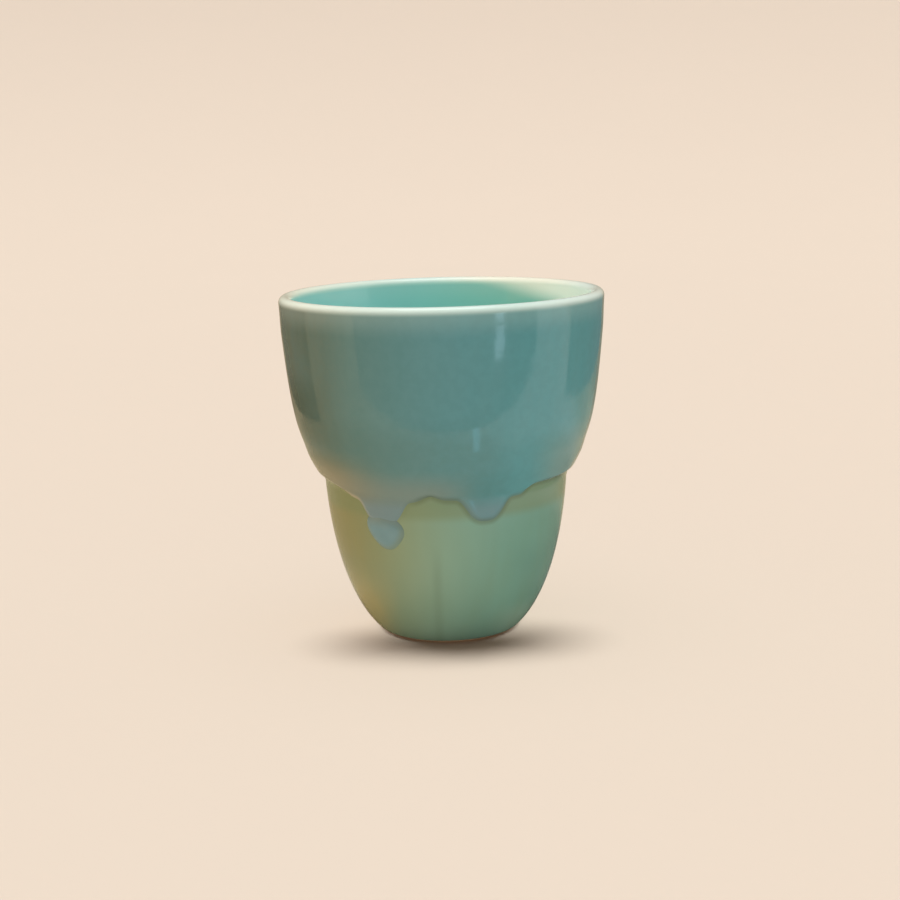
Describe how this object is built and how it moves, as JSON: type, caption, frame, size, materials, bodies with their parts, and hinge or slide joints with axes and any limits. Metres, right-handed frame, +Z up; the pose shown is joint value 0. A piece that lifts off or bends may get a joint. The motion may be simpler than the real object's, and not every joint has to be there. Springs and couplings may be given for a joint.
{
  "type": "coffee cup",
  "caption": "Small handleless coffee cup of glazed pottery: bulged bowl over a narrow well, half-round pale lip, blue-green glaze run over celadon at the waist, bare foot ring.",
  "frame": {"origin": "centre of the foot ring, on the surface that the cup stands on", "axes": "+Z up along the cup's axis, -Y towards the viewer of the picture, +X to the viewer's right"},
  "size_m": [0.0604, 0.0604, 0.0642],
  "materials": {
    "bare_clay": "unglazed fired stoneware, matt",
    "turquoise_liner": "glossy transparent turquoise glaze",
    "pale_lip": "glossy glaze, thin and pale where it breaks over the lip",
    "blue_green_glaze": "glossy blue-green glaze",
    "celadon_glaze": "glossy celadon glaze",
    "milky_run": "glossy milky glaze, thick"
  },
  "bodies": {
    "root": {"clay_body": "bare_clay", "liner_glaze": "turquoise_liner", "lip_glaze": "pale_lip", "upper_glaze": "blue_green_glaze", "lower_glaze": "celadon_glaze", "run_bead": "milky_run"}
  },
  "joints": []
}
